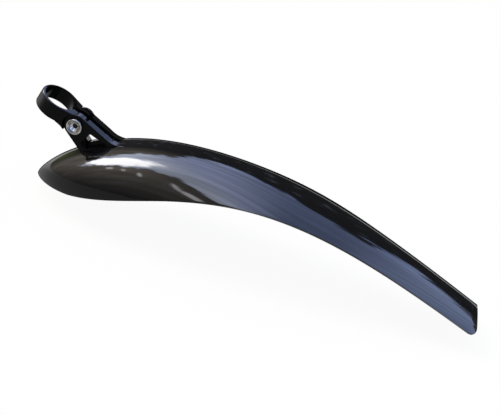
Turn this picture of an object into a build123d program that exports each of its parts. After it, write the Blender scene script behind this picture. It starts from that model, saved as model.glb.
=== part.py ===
"""Clip-on rear mudguard for a bicycle seat post.

Millimetres, +Z up, +X to the tail. The guard stands on the tip of its nose and the two
corners of its tail at Z = 0. The pivot bolt lies along Y.
"""
import os
from math import atan2, comb, cos, radians, sin, sqrt

from build123d import *

os.makedirs("parts", exist_ok=True)

# Seat post clamp
post_d = 31.6
strap_wall = 2.5
strap_w = 14.4
strap_in_r = post_d / 2
strap_out_r = strap_in_r + strap_wall
post_lean = 21.3
ring_to_bolt = 25.6
ring_lift = 2.2
rim_r = 1.6
ear_gap = 6.0
ear_r = 10.8
seat_clear = 0.35
neck_back = 1.0
neck_end = 4.5

# Pivot bolt and nut
bolt_x = -181.1
bolt_z = 64.9
bolt_d = 8.0
pivot_fit = 0.06
head_d = 15.2
head_h = 2.6
hex_key = 6.0
nut_af = 13.0
nut_h = 6.5
nut_clear = 0.15

# Bracket
bracket_w = 21.0
cheek_thin = 2.0
channel_w = 6.0
cheek_r = 11.1
pocket_r = 12.6
ear_clear = 0.2
nut_wall_r = 9.6
nut_wall_h = 4.0
edge_r = 0.8

# Blade
wall = 2.3
tail_r = 8.0
crown_line = [(-213.3, 0.0), (-212.9, 13.8), (-150.1, 84.6), (-49.0, 118.7), (227.7, 9.1)]
rim_line = [(-213.3, 0.0), (-97.5, 10.1), (-36.6, 103.4), (66.7, 59.1), (225.1, -0.7)]
plan_line = [(-213.3, 0.0), (-213.3, 11.9), (-146.1, 86.8), (-66.8, 37.2), (227.7, 27.4)]
tail_end = 220.8
tail_slope = 0.3
stations = (0.2, 1.2, 3.5, 8, 16, 28, 44, 66, 96, 136, 186, 244, 304, 366, 424, 450)

# Screws from the blade into the bracket
screw_d = 3.5
screw_head_d = 7.0
screw_head_h = 2.2
screw_len = 5.4
screw_seat = 2.0
screw_at = (17.0, 29.0)
plate_h = 3.6
plate_w = 10.6


def bezier(points, t):
    """Point of a Bezier curve."""
    n = len(points) - 1
    k = [comb(n, i) * (1 - t) ** (n - i) * t**i for i in range(n + 1)]
    return sum(a * p[0] for a, p in zip(k, points)), sum(a * p[1] for a, p in zip(k, points))


def at_x(points, x):
    """Second coordinate of a curve where its first one is x."""
    low, high = 0.0, 1.1
    for _ in range(50):
        mid = (low + high) / 2
        if bezier(points, mid)[0] < x:
            low = mid
        else:
            high = mid
    return bezier(points, low)[1]


def slope_at(points, x):
    """Slope of a curve at x."""
    return (at_x(points, x + 0.5) - at_x(points, x - 0.5)) / 1.0


def side(x, z):
    """Point given from the bolt, in the side view."""
    return bolt_x + x, bolt_z + z


nose_x = crown_line[0][0]
lean = radians(post_lean)
along = Vector(cos(lean), 0, -sin(lean))
up = Vector(sin(lean), 0, cos(lean))
bolt_at = Vector(bolt_x, 0, bolt_z)
ring_at = bolt_at - along * ring_to_bolt + up * ring_lift
ear_out = bracket_w / 2 - cheek_thin - ear_clear

side_view = Plane(origin=(0, 0, 0), x_dir=(1, 0, 0), z_dir=(0, -1, 0))
bolt_view = Plane(origin=bolt_at, x_dir=(1, 0, 0), z_dir=(0, -1, 0))
ear_view = Plane(origin=bolt_at, x_dir=along, z_dir=(0, -1, 0))
ring_view = Plane(origin=ring_at, x_dir=along, z_dir=up)

# The crowned form of the blade: round sections from the nose to past the tail
outer = []
inner = []
for back in stations:
    x = nose_x + back
    z_crown = at_x(crown_line, x)
    half = at_x(plan_line, x)
    z_rim = max(at_x(rim_line, x), z_crown - half)
    drop = wall * sqrt(1 + slope_at(crown_line, x) ** 2)
    flank = 2 * atan2(z_crown - z_rim, half)
    inset = min(wall / max(sin(flank), 0.3), wall * 2)
    section = Plane(origin=(x, 0, 0), x_dir=(0, 1, 0), z_dir=(1, 0, 0))
    with BuildSketch(section) as full:
        with BuildLine():
            ThreePointArc((-half, z_rim), (0, z_crown), (half, z_rim))
            Line((half, z_rim), (-half, z_rim))
        make_face()
    outer.append(full.sketch)
    if back < 8:
        continue
    with BuildSketch(section) as hollow:
        with BuildLine():
            ThreePointArc((inset - half, z_rim), (0, z_crown - drop), (half - inset, z_rim))
            Polyline((half - inset, z_rim), (half - inset, z_rim - 9), (inset - half, z_rim - 9), (inset - half, z_rim))
        make_face()
    inner.append(hollow.sketch)

with BuildPart() as hood_form:
    loft(sections=outer)

with BuildPart() as hood_core:
    loft(sections=[Vertex(nose_x + 3.2, 0, -1)] + inner)

# Screw places on the crown, each with its own plane square to the skin
screw_planes = []
for x in screw_at:
    x_at = bolt_x + x
    rise = atan2(slope_at(crown_line, x_at), 1)
    screw_planes.append(
        Plane(
            origin=(x_at, 0, at_x(crown_line, x_at)),
            x_dir=(cos(rise), 0, sin(rise)),
            z_dir=(-sin(rise), 0, cos(rise)),
        )
    )

tail_turn = atan2(tail_slope, 1)
tail_plane = Plane(
    origin=(tail_end, 0, at_x(crown_line, tail_end)),
    x_dir=(cos(tail_turn), 0, sin(tail_turn)),
    z_dir=(-sin(tail_turn), 0, cos(tail_turn)),
)
tail_half = at_x(plan_line, tail_end)

# Blade
with BuildPart() as blade:
    add(hood_form.part)
    add(hood_core.part, mode=Mode.SUBTRACT)
    with BuildSketch(tail_plane):
        with Locations((30, 0)):
            Rectangle(60, 4 * tail_half)
    extrude(amount=60, both=True, mode=Mode.SUBTRACT)
    with BuildSketch(tail_plane):
        for s in (-1, 1):
            with Locations((-tail_r / 2, s * (tail_half + 4 - tail_r / 2))):
                Rectangle(tail_r, tail_r + 8)
        for s in (-1, 1):
            with Locations((-tail_r, s * (tail_half - tail_r))):
                Circle(tail_r, mode=Mode.SUBTRACT)
    extrude(amount=40, both=True, mode=Mode.SUBTRACT)
    for place in screw_planes:
        with BuildSketch(place):
            Circle(screw_d / 2)
        extrude(amount=8, both=True, mode=Mode.SUBTRACT)
        with BuildSketch(place.offset(-screw_seat)):
            Circle(screw_head_d / 2 + 0.4)
        extrude(amount=-6, mode=Mode.SUBTRACT)
blade.part.label = "blade"
export_step(blade.part, "parts/blade.step")

# Mounting bracket: two cheeks joined by the deck of the rear leg and a plate on the crown
line_turn = radians(63.4)
top_tangent = (cheek_r * cos(line_turn), cheek_r * sin(line_turn))
line_slope = -cos(line_turn) / sin(line_turn)
front_turn = radians(46)
low_tangent = (-cheek_r * cos(front_turn), -cheek_r * sin(front_turn))
foot = (low_tangent[0] + 21 * sin(front_turn), low_tangent[1] - 21 * cos(front_turn))
leg_x = 28.8
leg_z = top_tangent[1] + line_slope * (leg_x - top_tangent[0])
slot_end = 23.7
deck_drop = 1.5

with BuildPart() as bracket:
    with BuildSketch(bolt_view):
        with BuildLine():
            Line(top_tangent, (leg_x, leg_z))
            ThreePointArc((leg_x, leg_z), (38.6, -5.4), (48.9, -4.0))
            Polyline((48.9, -4.0), (48.9, -14), (16, -32), foot, low_tangent)
            ThreePointArc(low_tangent, (-cheek_r * cos(front_turn / 2), cheek_r * sin(front_turn / 2)), top_tangent)
        make_face()
    extrude(amount=bracket_w / 2, both=True)
    fillet(bracket.faces().filter_by(Axis.Y).edges(), radius=edge_r)
    # channel between the cheeks, open to the front, with a round end in the rear leg
    with BuildSketch(bolt_view):
        with BuildLine():
            Polyline((-30, 20), (slot_end, 20), (slot_end, -30), (-30, -30), (-30, 20))
        make_face()
    extrude(amount=channel_w / 2, both=True, mode=Mode.SUBTRACT)
    # round pocket for the ears of the strap
    with BuildSketch(bolt_view):
        Circle(pocket_r)
    extrude(amount=bracket_w / 2 - cheek_thin, both=True, mode=Mode.SUBTRACT)
    # sunk deck between the two strips of the rear leg
    with BuildSketch(bolt_view):
        with BuildLine():
            Line((slot_end - 1, 10), (slot_end - 1, leg_z - line_slope * (leg_x - slot_end + 1) - deck_drop))
            Line((slot_end - 1, leg_z - line_slope * (leg_x - slot_end + 1) - deck_drop), (leg_x, leg_z - deck_drop))
            ThreePointArc((leg_x, leg_z - deck_drop), (38.6, -5.4 - deck_drop), (48.9, -4.0 - deck_drop))
            Polyline((48.9, -4.0 - deck_drop), (48.9, 10), (slot_end - 1, 10))
        make_face()
    extrude(amount=channel_w / 2, both=True, mode=Mode.SUBTRACT)
    # three-sided window through both cheeks
    with BuildSketch(bolt_view) as window:
        with BuildLine():
            Polyline((12.0, -19.4), (7.6, -14.6), (15.4, -2.8), (25.8, -6.4), (36.3, -8.4), (12.0, -19.4))
        make_face()
        fillet(window.vertices(), radius=1.6)
    extrude(amount=bracket_w, both=True, mode=Mode.SUBTRACT)
    # plate on the crown between the cheeks
    with BuildSketch(side_view):
        with BuildLine():
            low = [(bolt_x + x, at_x(crown_line, bolt_x + x)) for x in (7.5, 21, 36)]
            ThreePointArc(*[(x, z + plate_h) for x, z in low])
            Polyline(
                (low[2][0], low[2][1] + plate_h),
                (low[2][0], low[2][1] - 6),
                (low[0][0], low[0][1] - 6),
                (low[0][0], low[0][1] + plate_h),
            )
        make_face()
    extrude(amount=plate_w / 2, both=True)
    # socket for the nut on the far cheek
    with BuildSketch(bolt_view.offset(-bracket_w / 2 - nut_wall_h)):
        Circle(nut_wall_r)
        RegularPolygon(nut_af / 2 + nut_clear, 6, major_radius=False, mode=Mode.SUBTRACT)
    extrude(amount=nut_wall_h)
    with BuildSketch(bolt_view):
        Circle(bolt_d / 2 + pivot_fit)
    extrude(amount=bracket_w, both=True, mode=Mode.SUBTRACT)
    add(hood_form.part, mode=Mode.SUBTRACT)
    for place in screw_planes:
        with BuildSketch(place):
            Circle(screw_d / 2)
        extrude(amount=12, both=True, mode=Mode.SUBTRACT)
bracket.part.label = "mounting_bracket"
export_step(bracket.part, "parts/mounting_bracket.step")

# Web under the neck of the strap, where the band meets the round ends of the cheeks
low = ring_lift - strap_w / 2
with BuildPart() as neck_web:
    with BuildSketch(ring_view):
        Circle(strap_out_r)
        with Locations((ring_to_bolt - neck_end, 0)):
            Rectangle(1, bracket_w + 0.5 * neck_end)
        make_hull()
    extrude(amount=strap_w, both=True)
    with BuildSketch(ear_view):
        with BuildLine():
            Polyline((-17, low + 0.1), (-11, low - 1.9), (-7.5, low - 3.9), (-neck_end, low - 4.1), (-neck_end, low + 3))
            Polyline((-neck_end, low + 3), (-17, low + 3), (-17, low + 0.1))
        make_face()
    extrude(amount=20, both=True, mode=Mode.INTERSECT)

# Clamp strap: split ring drawn in to a neck, with two ears between the cheeks
with BuildPart() as strap:
    with BuildSketch(ring_view):
        Circle(strap_out_r)
        with Locations((ring_to_bolt - neck_end, 0)):
            Rectangle(1, bracket_w + 0.5 * neck_end)
        make_hull()
    extrude(amount=strap_w / 2, both=True)
    flats = strap.faces().filter_by(ring_view).sort_by(Axis.Z)
    fillet(flats[-1].edges(), radius=rim_r)
    fillet(strap.faces().filter_by(ring_view).sort_by(Axis.Z)[0].edges(), radius=edge_r)
    add(neck_web.part)
    with BuildSketch(bolt_view):
        Circle(ear_r)
    extrude(amount=ear_out, both=True)
    # seats for the round ends of the cheeks
    for s in (-1, 1):
        with BuildSketch(bolt_view.offset(s * ear_out)):
            Circle(cheek_r + seat_clear)
        extrude(amount=s * 20, mode=Mode.SUBTRACT)
    # bore for the post, with the neck set back above and below the band
    with BuildSketch(ring_view):
        Circle(strap_in_r)
    extrude(amount=40, both=True, mode=Mode.SUBTRACT)
    for s in (-1, 1):
        with BuildSketch(ring_view.offset(s * strap_w / 2)):
            Circle(strap_in_r + neck_back)
        extrude(amount=s * 30, mode=Mode.SUBTRACT)
    with BuildSketch(ring_view):
        with Locations((ring_to_bolt, 0)):
            Rectangle(4 * ear_r, ear_gap)
    extrude(amount=30, both=True, mode=Mode.SUBTRACT)
    with BuildSketch(bolt_view):
        Circle(bolt_d / 2 + pivot_fit)
    extrude(amount=bracket_w, both=True, mode=Mode.SUBTRACT)
strap.part.label = "clamp_strap"
export_step(strap.part, "parts/clamp_strap.step")

# Clamp bolt: wide dished head with a hexagon socket, plain shank
face_y = bracket_w / 2
head_flat_r = head_d / 2 - 0.6
dish_r = 0.43 * head_d
mouth_r = 0.26 * head_d
dish = 1.1
with BuildPart() as bolt:
    with BuildSketch(Plane(origin=bolt_at, x_dir=(1, 0, 0), z_dir=(0, 0, 1))):
        with BuildLine():
            Polyline(
                (0, 0),
                (0, -face_y - head_h + dish),
                (mouth_r, -face_y - head_h + dish),
                (dish_r, -face_y - head_h),
                (head_flat_r, -face_y - head_h),
            )
            RadiusArc((head_flat_r, -face_y - head_h), (head_d / 2, -face_y - head_h + 0.6), -0.6)
            Polyline(
                (head_d / 2, -face_y - head_h + 0.6),
                (head_d / 2, -face_y),
                (bolt_d / 2, -face_y),
                (bolt_d / 2, face_y + nut_h + 2.0),
                (bolt_d / 2 - 1, face_y + nut_h + 3.0),
                (0, face_y + nut_h + 3.0),
                (0, 0),
            )
        make_face()
    revolve(axis=Axis(bolt_at, (0, 1, 0)))
    with BuildSketch(bolt_view.offset(face_y + head_h)):
        RegularPolygon(hex_key / 2, 6, major_radius=False)
    extrude(amount=-6.0, mode=Mode.SUBTRACT)
bolt.part.label = "clamp_bolt"
export_step(bolt.part, "parts/clamp_bolt.step")

# Clamp nut
with BuildPart() as nut:
    with BuildSketch(bolt_view.offset(-face_y - nut_h)):
        RegularPolygon(nut_af / 2, 6, major_radius=False)
        Circle(bolt_d / 2, mode=Mode.SUBTRACT)
    extrude(amount=nut_h)
    with BuildSketch(Plane(origin=bolt_at, x_dir=(1, 0, 0), z_dir=(0, 0, 1))):
        with BuildLine():
            Polyline(
                (nut_af / 2 - 0.1, face_y + nut_h),
                (nut_af / 2 + 1.4, face_y + nut_h - 0.9),
                (nut_af / 2 + 1.4, face_y + nut_h),
                (nut_af / 2 - 0.1, face_y + nut_h),
            )
        make_face()
    revolve(axis=Axis(bolt_at, (0, 1, 0)), mode=Mode.SUBTRACT)
nut.part.label = "clamp_nut"
export_step(nut.part, "parts/clamp_nut.step")

# Bracket screws, heads under the blade
with BuildPart() as screws:
    for place in screw_planes:
        with BuildSketch(place.offset(-screw_seat)):
            Circle(screw_d / 2)
        extrude(amount=screw_len)
        with BuildSketch(place.offset(-screw_seat - screw_head_h)):
            Circle(screw_head_d / 2)
        extrude(amount=screw_head_h)
screws.part.label = "bracket_screws"
export_step(screws.part, "parts/bracket_screws.step")
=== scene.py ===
"""Clip-on rear mudguard: gloss black blade, windowed bracket and a clamp for the seat post."""
from math import atan2, comb, cos, pi, sin, sqrt

import bmesh
import bpy
from mathutils import Matrix, Vector


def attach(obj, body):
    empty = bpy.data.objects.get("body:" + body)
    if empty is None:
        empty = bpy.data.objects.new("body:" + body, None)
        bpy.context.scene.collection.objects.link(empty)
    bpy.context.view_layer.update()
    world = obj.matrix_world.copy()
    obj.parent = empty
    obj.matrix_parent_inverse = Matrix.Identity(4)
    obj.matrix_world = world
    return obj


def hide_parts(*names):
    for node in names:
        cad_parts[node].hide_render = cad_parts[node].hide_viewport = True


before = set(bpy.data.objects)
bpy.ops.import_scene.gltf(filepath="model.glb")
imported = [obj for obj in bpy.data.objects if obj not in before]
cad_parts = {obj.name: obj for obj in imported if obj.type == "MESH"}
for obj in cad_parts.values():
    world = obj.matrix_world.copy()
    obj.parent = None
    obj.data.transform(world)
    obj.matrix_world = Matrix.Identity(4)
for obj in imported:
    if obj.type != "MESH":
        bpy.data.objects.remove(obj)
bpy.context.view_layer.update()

# The blade is one thin shell, moulded in black plastic in a polished tool.
# A deep hood at the front runs out into a shallow, narrower tail with rounded corners.
# The bracket sits on its crown, held by two screws from below.
mm = 0.001
blade_wall = 2.3
rim_round = 0.9
blade_lift = 0.11  # keeps the inner lip of the nose inside the CAD box
nose_rise = 0.2  # the tip stands a little above the ends of the rims
tail_end = 220.8
tail_corner = 8.0
tail_lean = -0.3
crown_line = [(-213.3, 0.0), (-212.9, 13.8), (-150.1, 84.6), (-49.0, 118.7), (227.7, 9.1)]
rim_line = [(-213.3, 0.0), (-97.5, 10.1), (-36.6, 103.4), (66.7, 59.1), (225.1, -0.7)]
plan_line = [(-213.3, 0.0), (-213.3, 11.9), (-146.1, 86.8), (-66.8, 37.2), (227.7, 27.4)]


def on_curve(points, t):
    """Point of a guide line drawn as one Bezier curve."""
    n = len(points) - 1
    k = [comb(n, i) * (1 - t) ** (n - i) * t**i for i in range(n + 1)]
    return sum(a * p[0] for a, p in zip(k, points)), sum(a * p[1] for a, p in zip(k, points))


def read_line(points, x):
    """Height or half width of a guide line at a distance x along the guard."""
    low, high = 0.0, 1.05
    for _ in range(40):
        mid = (low + high) / 2
        if on_curve(points, mid)[0] < x:
            low = mid
        else:
            high = mid
    return on_curve(points, low)[1]


def blade_section(x):
    """Crown height, radius and half angle of the round section at x."""
    top = read_line(crown_line, x)
    half = max(read_line(plan_line, x), 0.001)
    depth = min(max(top - read_line(rim_line, x), 0.001), half)
    return top, (half * half + depth * depth) / (2 * depth), 2 * atan2(depth, half)


def blade_point(section, x, across):
    """Point of the outer skin, across running from -1 at the near rim to 1 at the far rim."""
    top, radius, turn = section
    drop = radius * (1 - cos(turn * across))
    return Vector((x, radius * sin(turn * across), top - drop + blade_lift)) * mm


nose_x = crown_line[0][0]
tail_x = crown_line[-1][0]
tail_section = blade_section(tail_end)
tail_half = read_line(plan_line, tail_end)
blade_rows = 150
blade_cols = 60
blade_across = [2 * j / blade_cols - 1 for j in range(blade_cols + 1)]

# where each line of the skin ends at the tail: a cut square to the crown, with round corners
tail_ends = []
for across in blade_across:
    y = abs(tail_section[1] * sin(tail_section[2] * across))
    drop = tail_section[1] * (1 - cos(tail_section[2] * across))
    past = max(y - (tail_half - tail_corner), 0)
    back = tail_corner - sqrt(max(tail_corner**2 - past**2, 0))
    tail_ends.append(tail_end - tail_lean * drop - back)

shell = bmesh.new()
tip = shell.verts.new(Vector((nose_x, 0, nose_rise + blade_lift)) * mm)
rows = []
for i in range(1, blade_rows + 1):
    share = (on_curve(crown_line, i / blade_rows)[0] - nose_x) / (tail_x - nose_x)
    row = []
    for across, end in zip(blade_across, tail_ends):
        x = nose_x + share * (end - nose_x)
        row.append(shell.verts.new(blade_point(blade_section(x), x, across)))
    rows.append(row)
for a, b in zip(rows[0], rows[0][1:]):
    shell.faces.new((tip, a, b))
for near, far in zip(rows, rows[1:]):
    for j in range(blade_cols):
        shell.faces.new((near[j], far[j], far[j + 1], near[j + 1]))
bmesh.ops.recalc_face_normals(shell, faces=shell.faces)
if sum(f.normal.z for f in shell.faces) < 0:
    bmesh.ops.reverse_faces(shell, faces=shell.faces)
for f in shell.faces:
    f.smooth = True
blade_mesh = bpy.data.meshes.new("blade_shell")
shell.to_mesh(blade_mesh)
shell.free()
blade = bpy.data.objects.new("blade_shell", blade_mesh)
bpy.context.collection.objects.link(blade)
thick = blade.modifiers.new("wall", "SOLIDIFY")
thick.thickness = blade_wall * mm
thick.offset = -1
lip = blade.modifiers.new("rounded rim", "BEVEL")
lip.width = rim_round * mm
lip.segments = 3
lip.limit_method = "ANGLE"
lip.angle_limit = 0.9


def new_finish(name):
    """Empty node material with its shader, nodes and links."""
    finish = bpy.data.materials.new(name)
    finish.use_nodes = True
    nodes, links = finish.node_tree.nodes, finish.node_tree.links
    return finish, nodes["Principled BSDF"], nodes, links


def noise_at(nodes, links, scale, detail=2.0):
    """Noise over the object's own coordinates, in metres."""
    place = nodes.new("ShaderNodeTexCoord")
    noise = nodes.new("ShaderNodeTexNoise")
    noise.inputs["Scale"].default_value = scale
    noise.inputs["Detail"].default_value = detail
    links.new(place.outputs["Object"], noise.inputs["Vector"])
    return noise


def spread(nodes, links, source, low, high):
    """Noise value mapped to a working range."""
    span = nodes.new("ShaderNodeMapRange")
    span.inputs["From Min"].default_value = 0.3
    span.inputs["From Max"].default_value = 0.7
    span.inputs["To Min"].default_value = low
    span.inputs["To Max"].default_value = high
    links.new(source.outputs["Fac"], span.inputs["Value"])
    return span


def shine(nodes, links, shader, dull, bright, stops, ahead=0.0):
    """Strength of the gloss, from looking straight on (0) to along the surface (1).
    Painted shade: the gloss is cut from bright to dull where the surface faces sideways, down or ahead."""
    turn = nodes.new("ShaderNodeLayerWeight")
    turn.inputs["Blend"].default_value = 0.5
    curve = nodes.new("ShaderNodeValToRGB")
    curve.color_ramp.interpolation = "EASE"
    points = curve.color_ramp.elements
    points[0].position, points[1].position = stops[0][0], stops[-1][0]
    for at, value in stops:
        stop = points[0] if at == stops[0][0] else points[-1] if at == stops[-1][0] else points.new(at)
        stop.color = (value, value, value, 1)
    links.new(turn.outputs["Facing"], curve.inputs[0])
    place = nodes.new("ShaderNodeTexCoord")
    face = nodes.new("ShaderNodeVectorMath")
    face.operation = "DOT_PRODUCT"
    face.inputs[1].default_value = (ahead, 0, 1)
    links.new(place.outputs["Normal"], face.inputs[0])
    # painted shade in the reflections: gloss cut where the surface faces sideways, down or ahead
    painted_dim = nodes.new("ShaderNodeMapRange")
    painted_dim.interpolation_type = "SMOOTHSTEP"
    painted_dim.inputs["From Min"].default_value = dull
    painted_dim.inputs["From Max"].default_value = bright
    painted_dim.inputs["To Min"].default_value = 0.12
    links.new(face.outputs["Value"], painted_dim.inputs["Value"])
    level = nodes.new("ShaderNodeMath")
    level.operation = "MULTIPLY"
    links.new(curve.outputs[0], level.inputs[0])
    links.new(painted_dim.outputs[0], level.inputs[1])
    links.new(level.outputs[0], shader.inputs["Specular IOR Level"])


def bump_from(nodes, links, shader, source, height, strength, under=None):
    """Surface relief from a height, on top of an earlier relief if there is one."""
    bump = nodes.new("ShaderNodeBump")
    bump.inputs["Distance"].default_value = height
    bump.inputs["Strength"].default_value = strength
    links.new(source, bump.inputs["Height"])
    if under:
        links.new(under.outputs["Normal"], bump.inputs["Normal"])
    links.new(bump.outputs["Normal"], shader.inputs["Normal"])
    return bump


gloss_black, shader, nodes, links = new_finish("gloss_black_moulding")
shader.inputs["IOR"].default_value = 1.65
tint = nodes.new("ShaderNodeMix")
tint.data_type = "RGBA"
tint.inputs[6].default_value = (0.0036, 0.0036, 0.0042, 1)
tint.inputs[7].default_value = (0.0056, 0.0055, 0.006, 1)
links.new(noise_at(nodes, links, 22).outputs["Fac"], tint.inputs[0])
links.new(tint.outputs[2], shader.inputs["Base Color"])
polish = spread(nodes, links, noise_at(nodes, links, 60, 4), 0.05, 0.085)
links.new(polish.outputs[0], shader.inputs["Roughness"])
bump_from(nodes, links, shader, noise_at(nodes, links, 30, 1).outputs["Fac"], 0.0002, 0.25)
# painted sheen and shade: gloss raised at middle angles, faded at the outline, cut where it faces down or
# aside
gloss_stops = ((0.0, 0.62), (0.35, 0.84), (0.56, 1.1), (0.68, 0.55), (0.8, 0.0))
shine(nodes, links, shader, 0.2, 0.66, gloss_stops, ahead=0.24)
blade.data.materials.append(gloss_black)
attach(blade, "guard")
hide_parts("blade")

# The bracket is one moulding in satin black nylon: two cheeks with a three-sided window,
# a deck over the rear leg and a plate that follows the crown of the blade.
crown_slope = 0.21
satin_stops = ((0.0, 0.15), (0.3, 0.35), (0.5, 0.9), (0.68, 0.5), (0.8, 0.0))


def satin_nylon(name, crown):
    """Satin black nylon. The crown is the slope that its upper faces fall off to each side."""
    finish, shader, nodes, links = new_finish(name)
    shader.inputs["IOR"].default_value = 1.61
    tint = nodes.new("ShaderNodeMix")
    tint.data_type = "RGBA"
    tint.inputs[6].default_value = (0.0025, 0.0025, 0.0028, 1)
    tint.inputs[7].default_value = (0.0045, 0.0044, 0.0046, 1)
    links.new(noise_at(nodes, links, 90, 3).outputs["Fac"], tint.inputs[0])
    links.new(tint.outputs[2], shader.inputs["Base Color"])
    satin = spread(nodes, links, noise_at(nodes, links, 140, 3), 0.14, 0.24)
    links.new(satin.outputs[0], shader.inputs["Roughness"])
    grain = bump_from(nodes, links, shader, noise_at(nodes, links, 1600, 2).outputs["Fac"], 0.00004, 0.25)
    place = nodes.new("ShaderNodeTexCoord")
    part = nodes.new("ShaderNodeSeparateXYZ")
    links.new(place.outputs["Object"], part.inputs[0])
    aside = nodes.new("ShaderNodeMath")
    aside.operation = "ABSOLUTE"
    links.new(part.outputs[1], aside.inputs[0])
    fall = nodes.new("ShaderNodeMath")
    fall.operation = "MULTIPLY"
    fall.inputs[1].default_value = -crown
    links.new(aside.outputs[0], fall.inputs[0])
    bump_from(nodes, links, shader, fall.outputs[0], 1.0, 1.0, grain)
    # painted shade in the reflections: gloss faded at the outline and cut where the nylon faces sideways or
    # down
    shine(nodes, links, shader, 0.1, 0.5, satin_stops)
    return finish


def dress(node, finish):
    """Give a CAD node its finish."""
    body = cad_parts[node]
    body.data.materials.clear()
    body.data.materials.append(finish)


dress("mounting_bracket", satin_nylon("bracket_nylon", crown_slope))

# The strap is a split ring of the same nylon, moulded in one with the two ears that lie
# between the cheeks of the bracket. The bolt draws it tight round the seat post.
dress("clamp_strap", satin_nylon("strap_nylon", crown_slope))

# The bolt is zinc-plated steel, turned on a lathe: a wide head hollowed like a cup, with a step
# and a deep hexagon socket. It goes through both cheeks and the ears of the strap.
bolt_at = (-181.1, 0.0, 64.9)
bolt_rings = [
    (3.0, 20.0), (4.0, 19.0), (4.0, -10.5), (7.4, -10.5), (7.6, -10.7), (7.6, -12.6), (7.5, -12.9),
    (7.25, -13.1), (6.9, -13.1), (6.7, -13.0), (5.5, -11.75), (5.35, -11.65), (5.1, -11.65),
    (5.0, -11.5), (2.95, -9.4),
]
socket_flat = 2.5
socket_rings = [-9.35, -5.2]
bolt_steps = 96
tone_reach = 8.0
turned = bmesh.new()


def bolt_ring(y, reach):
    """One ring of the bolt at y, whose radius at an angle is given by reach."""
    angles = [2 * pi * k / bolt_steps for k in range(bolt_steps)]
    spots = [Vector((bolt_at[0] + reach(a) * cos(a), y, bolt_at[2] + reach(a) * sin(a))) for a in angles]
    return [turned.verts.new(spot * mm) for spot in spots]


def hexagon(angle):
    """Distance to the side of the socket's hexagon."""
    return socket_flat / cos((angle % (pi / 3)) - pi / 6)


bolt_loops = [bolt_ring(y, lambda angle, r=r: r) for r, y in bolt_rings]
bolt_loops += [bolt_ring(y, hexagon) for y in socket_rings]
for near, far in zip(bolt_loops, bolt_loops[1:]):
    for k in range(bolt_steps):
        turned.faces.new((near[k], near[k - 1], far[k - 1], far[k]))
turned.faces.new(bolt_loops[0])
turned.faces.new(bolt_loops[-1])
bmesh.ops.recalc_face_normals(turned, faces=turned.faces)
for f in turned.faces:
    f.smooth = True
bolt_mesh = bpy.data.meshes.new("socket_bolt")
turned.to_mesh(bolt_mesh)
turned.free()
bolt_mesh.set_sharp_from_angle(angle=0.6)
bolt = bpy.data.objects.new("socket_bolt", bolt_mesh)
bpy.context.collection.objects.link(bolt)


def zinc_plate(name, radial_tone):
    """Turned zinc plate. Its listed values give how bright the colour is drawn at radii in mm from the bolt's
    axis.
    """
    finish, shader, nodes, links = new_finish(name)
    shader.inputs["Metallic"].default_value = 1.0
    tint = nodes.new("ShaderNodeMix")
    tint.data_type = "RGBA"
    tint.inputs[6].default_value = (0.6, 0.6, 0.59, 1)
    tint.inputs[7].default_value = (0.72, 0.72, 0.7, 1)
    links.new(noise_at(nodes, links, 300, 3).outputs["Fac"], tint.inputs[0])
    place = nodes.new("ShaderNodeTexCoord")
    centre = nodes.new("ShaderNodeVectorMath")
    centre.operation = "SUBTRACT"
    centre.inputs[1].default_value = Vector(bolt_at) * mm
    links.new(place.outputs["Object"], centre.inputs[0])
    rings = nodes.new("ShaderNodeTexWave")
    rings.wave_type = "RINGS"
    rings.rings_direction = "Y"
    rings.inputs["Scale"].default_value = 900
    rings.inputs["Distortion"].default_value = 0.4
    links.new(centre.outputs[0], rings.inputs["Vector"])
    bump_from(nodes, links, shader, rings.outputs["Fac"], 0.00001, 0.1)
    wear = spread(nodes, links, noise_at(nodes, links, 500, 3), 0.26, 0.36)
    links.new(wear.outputs[0], shader.inputs["Roughness"])
    flat = nodes.new("ShaderNodeVectorMath")
    flat.operation = "MULTIPLY"
    flat.inputs[1].default_value = (1, 0, 1)
    links.new(centre.outputs[0], flat.inputs[0])
    away = nodes.new("ShaderNodeVectorMath")
    away.operation = "LENGTH"
    links.new(flat.outputs[0], away.inputs[0])
    reach = nodes.new("ShaderNodeMapRange")
    reach.inputs["From Max"].default_value = tone_reach * mm
    links.new(away.outputs["Value"], reach.inputs["Value"])
    # colour scaled by radius from the bolt's axis: on the bolt's head, painted shade in the socket and at the
    # step
    tone_ramp = nodes.new("ShaderNodeValToRGB")
    marks = tone_ramp.color_ramp.elements
    marks[0].color = (1, 1, 1, 1)
    for at, value in radial_tone:
        marks.new(at / tone_reach).color = (value, value, value, 1)
    links.new(reach.outputs[0], tone_ramp.inputs[0])
    toned = nodes.new("ShaderNodeMix")
    toned.data_type = "RGBA"
    toned.blend_type = "MULTIPLY"
    toned.inputs[0].default_value = 1.0
    links.new(tint.outputs[2], toned.inputs[6])
    links.new(tone_ramp.outputs[0], toned.inputs[7])
    links.new(toned.outputs[2], shader.inputs["Base Color"])
    return finish


# painted shade: darker in the hexagon socket and at the step round the cup; cup wall at full colour, outer
# face at 0.6
head_painted_shading = (
    (0.1, 0.3), (2.6, 0.3), (2.95, 1.0), (4.95, 1.0), (5.1, 0.2), (5.35, 0.2), (5.5, 0.62), (7.9, 0.6)
)
bolt.data.materials.append(zinc_plate("turned_zinc_plate", head_painted_shading))
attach(bolt, "guard")
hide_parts("clamp_bolt")

# The nut is a plain hexagon nut in zinc-plated steel, drawn darker in a ring round its thread.
# It sits in a hexagon socket of the far cheek, which keeps it from turning.
nut_radial_tone = ((4.0, 0.5), (4.4, 1.0))
dress("clamp_nut", zinc_plate("nut_zinc_plate", nut_radial_tone))

# Two short self-tapping screws, also in zinc-plated steel, hold the bracket to the blade.
# They go up through the crown of the blade into the plate of the bracket.
dress("bracket_screws", zinc_plate("screw_zinc_plate", ()))

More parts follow.
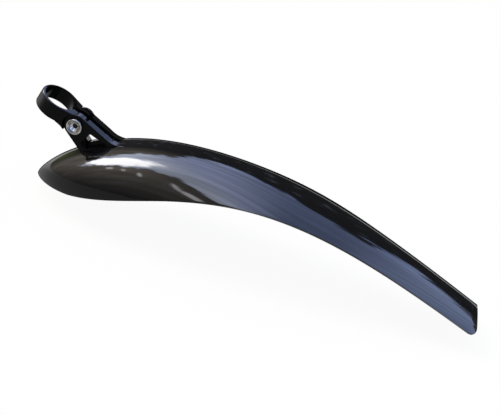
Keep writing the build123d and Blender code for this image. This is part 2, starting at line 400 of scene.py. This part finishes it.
# The floor is a plain pale sheet, low enough for the guard to tilt over it, as it does on its post.
# The camera and the gloss see it almost white, and the rest of its colour takes the shadow.
floor_half, floor_z = 25.0, -0.018
floor_white = 0.94
floor_mesh = bpy.data.meshes.new("floor")
floor_mesh.from_pydata(
    [
        (-floor_half, -floor_half, floor_z),
        (floor_half, -floor_half, floor_z),
        (floor_half, floor_half, floor_z),
        (-floor_half, floor_half, floor_z),
    ],
    [],
    [(0, 1, 2, 3)],
)
floor = bpy.data.objects.new("floor", floor_mesh)
bpy.context.collection.objects.link(floor)
paper, shader, nodes, links = new_finish("pale_floor")
shader.inputs["Base Color"].default_value = (1.0, 0.94, 0.72, 1)
shader.inputs["Roughness"].default_value = 0.9
shader.inputs["Specular IOR Level"].default_value = 0.0
glow = nodes.new("ShaderNodeEmission")
glow.inputs["Color"].default_value = (1, 1, 1, 1)
path = nodes.new("ShaderNodeLightPath")
seen = nodes.new("ShaderNodeMath")
seen.operation = "ADD"
links.new(path.outputs["Is Camera Ray"], seen.inputs[0])
links.new(path.outputs["Is Glossy Ray"], seen.inputs[1])
seen_all = nodes.new("ShaderNodeMath")
seen_all.operation = "ADD"
links.new(seen.outputs[0], seen_all.inputs[0])
links.new(path.outputs["Is Transmission Ray"], seen_all.inputs[1])
share = nodes.new("ShaderNodeMath")
share.operation = "MULTIPLY"
share.use_clamp = True
share.inputs[1].default_value = floor_white
links.new(seen_all.outputs[0], share.inputs[0])
both = nodes.new("ShaderNodeMixShader")
links.new(share.outputs[0], both.inputs[0])
links.new(shader.outputs[0], both.inputs[1])
links.new(glow.outputs[0], both.inputs[2])
links.new(both.outputs[0], nodes["Material Output"].inputs["Surface"])
floor.data.materials.append(paper)

# Surroundings, as an outdoor sky mirrored in the gloss: blue with a white cloud on the left,
# a dark line of trees on the far side and a dim, warm wall on the near side.
# Directions are read as degrees from the zenith, to the tail and to the far side.
sky_level = 0.8
degrees = 180 / pi
sky = bpy.data.worlds.new("open_sky")
sky.use_nodes = True
nodes, links = sky.node_tree.nodes, sky.node_tree.links


def calc(kind, *values):
    """Arithmetic node over numbers and other nodes' outputs."""
    node = nodes.new("ShaderNodeMath")
    node.operation = kind
    for socket, value in zip(node.inputs, values):
        if isinstance(value, (int, float)):
            socket.default_value = value
        else:
            links.new(value, socket)
    return node.outputs[0]


def times(*values):
    """Product of several node outputs."""
    total = values[0]
    for value in values[1:]:
        total = calc("MULTIPLY", total, value)
    return total


def edge(value, low, high, start=0.0, stop=1.0):
    """Soft step from one level to another."""
    span = nodes.new("ShaderNodeMapRange")
    span.interpolation_type = "SMOOTHSTEP"
    links.new(value, span.inputs["Value"])
    span.inputs["From Min"].default_value = low
    span.inputs["From Max"].default_value = high
    span.inputs["To Min"].default_value = start
    span.inputs["To Max"].default_value = stop
    return span.outputs[0]


def wisps(wide, deep, detail, shift=0.0):
    """Noise stretched over the map of the sky."""
    at = nodes.new("ShaderNodeCombineXYZ")
    links.new(calc("MULTIPLY_ADD", sky_x, 1 / wide, shift), at.inputs[0])
    links.new(calc("MULTIPLY_ADD", sky_y, 1 / deep, shift), at.inputs[1])
    noise = nodes.new("ShaderNodeTexNoise")
    noise.inputs["Scale"].default_value = 1.0
    noise.inputs["Detail"].default_value = detail
    links.new(at.outputs[0], noise.inputs["Vector"])
    return noise.outputs["Fac"]


def border(across, along, shift):
    """Ragged straight border in the map of the sky, bright on its positive side."""
    line = calc("MULTIPLY_ADD", ragged_x, across, shift)
    return edge(calc("MULTIPLY_ADD", ragged_y, along, line), -1.5, 1.5)


def patch(x, y, wide, deep, inner, ragged=False):
    """Oval patch in the map of the sky."""
    u = calc("MULTIPLY", calc("SUBTRACT", ragged_x if ragged else sky_x, x), 1 / wide)
    v = calc("MULTIPLY", calc("SUBTRACT", ragged_y if ragged else sky_y, y), 1 / deep)
    far = calc("SQRT", calc("ADD", calc("MULTIPLY", u, u), calc("MULTIPLY", v, v)))
    return edge(far, inner, 1.0, 1.0, 0.0)


look = nodes.new("ShaderNodeTexCoord")
part = nodes.new("ShaderNodeSeparateXYZ")
links.new(look.outputs["Generated"], part.inputs[0])
from_zenith = calc("MULTIPLY", calc("ARCCOSINE", part.outputs[2]), degrees)
along_squared = calc("MULTIPLY", part.outputs[0], part.outputs[0])
across_squared = calc("MULTIPLY_ADD", part.outputs[1], part.outputs[1], 0.000001)
level = calc("SQRT", calc("ADD", along_squared, across_squared))
sky_x = calc("MULTIPLY", calc("DIVIDE", part.outputs[0], level), from_zenith)
sky_y = calc("MULTIPLY", calc("DIVIDE", part.outputs[1], level), from_zenith)
ragged_x = calc("MULTIPLY_ADD", calc("SUBTRACT", wisps(6, 6, 5), 0.5), 16.0, sky_x)
ragged_y = calc("MULTIPLY_ADD", calc("SUBTRACT", wisps(6, 6, 5, 40.0), 0.5), 16.0, sky_y)
streaks = edge(wisps(45, 7, 3), 0.25, 0.75, 0.75, 1.25)

# outline of the open sky: the cloud's upper and lower borders, then the tops of the trees
above = calc("MAXIMUM", border(0.414, -0.91, 33.8), border(0.888, -0.463, 32.0))
below = calc("MAXIMUM", border(0.225, 0.974, 22.5), border(0.857, 0.514, 28.1))
clearing = calc("MAXIMUM", patch(-5.5, 56, 4, 15, 0.75), patch(33, 38, 9, 13, 0.8, True))
trees = calc("MAXIMUM", border(-0.41, -0.912, 44.0), clearing)
outline = times(above, below, trees, border(0.658, -0.752, 41.2), border(0.447, 0.894, 32.2))
outline = times(outline, border(-0.909, -0.42, 50.1))
cloud_side = calc("ADD", calc("MULTIPLY_ADD", sky_x, 0.928, 14.85), calc("MULTIPLY", sky_y, 0.371))
white = edge(cloud_side, -8, 10, 1.0, 0.0)
blue = times(outline, edge(cloud_side, -8, 10), streaks, edge(sky_y, -60, -25))
wall = times(edge(sky_y, 15, 48, 1.0, 0.05), edge(sky_y, -92, -5, 0.5, 1.0), edge(sky_x, -40, -5, 1.0, 0.25))
wall = times(wall, edge(sky_x, -125, -95, 0.3, 1.0), edge(wisps(25, 8, 3, 9.0), 0.25, 0.75, 0.7, 1.3))
gaps = times(edge(wisps(3, 9, 2, 21.0), 0.6, 0.68), edge(sky_y, 46, 54), edge(sky_y, 80, 90, 1.0, 0.0))
lights = [
    (times(outline, white, edge(sky_x, -40, -14, 1.0, 0.75), streaks), (3.4, 3.75, 4.8)),
    (times(outline, patch(-43, -1, 21, 12, 0.6, True)), (9.3, 8.9, 8.3)),
    (blue, (0.5, 0.66, 1.2)),
    (times(blue, edge(sky_x, -12, 14, 1.0, 0.0), edge(sky_y, -10, 45, 1.0, 0.5)), (1.6, 1.75, 2.5)),
    (times(blue, edge(sky_x, 22, 44), edge(sky_y, -20, 45, 0.7, 1.2)), (0.8, 1.0, 1.55)),
    (times(calc("SUBTRACT", 1.0, outline), wall), (0.74, 0.66, 0.56)),
    (patch(-70, 62, 16, 30, 0.2), (0.21, 0.26, 0.06)),
    (gaps, (0.13, 0.155, 0.22)),
    (edge(from_zenith, 170, 180, 1.0, 0.9), (0.032, 0.032, 0.032)),
]
flecks = (
    (-48, -18, 2.6, 3.2), (-34, -29, 1.2, 5), (-41, -22, 1.2, 3.5), (-20.5, -41.5, 2.6, 4.5), (-23, -36, 1, 6)
)
fleck_white = (3.0, 3.0, 3.2)
for x, y, wide, deep in flecks:
    lights.append((patch(x, y, wide, deep, 0.6), fleck_white))
light = None
for amount, colour in lights:
    tinted = nodes.new("ShaderNodeVectorMath")
    tinted.operation = "SCALE"
    tinted.inputs[0].default_value = colour
    links.new(amount, tinted.inputs["Scale"])
    if light:
        total = nodes.new("ShaderNodeVectorMath")
        links.new(light, total.inputs[0])
        links.new(tinted.outputs[0], total.inputs[1])
        light = total.outputs[0]
    else:
        light = tinted.outputs[0]
links.new(light, nodes["Background"].inputs["Color"])
nodes["Background"].inputs["Strength"].default_value = sky_level
bpy.context.scene.world = sky

# The camera stands where the photograph was taken from, and is rolled as the photograph is.
# Its focal length is known in pixels of the photograph, which is 500 wide.
photo_width = 500
focal_pixels = 849.8
camera_data = bpy.data.cameras.new("camera")
camera_data.sensor_fit = "HORIZONTAL"
camera_data.sensor_width = 36.0
camera_data.lens = focal_pixels / photo_width * camera_data.sensor_width
camera_data.clip_start = 0.01
camera = bpy.data.objects.new("camera", camera_data)
stand = Vector((0.054223, -0.682726, 0.419213))
right = Vector((0.944019, 0.221442, 0.244525))
up = Vector((-0.320509, 0.440218, 0.83873))
back = Vector((0.078082, -0.870149, 0.486559))
camera.matrix_world = Matrix(
    (
        (right.x, up.x, back.x, stand.x),
        (right.y, up.y, back.y, stand.y),
        (right.z, up.z, back.z, stand.z),
        (0, 0, 0, 1),
    )
)
bpy.context.collection.objects.link(camera)
bpy.context.scene.camera = camera
bpy.context.scene.view_settings.view_transform = "Standard"
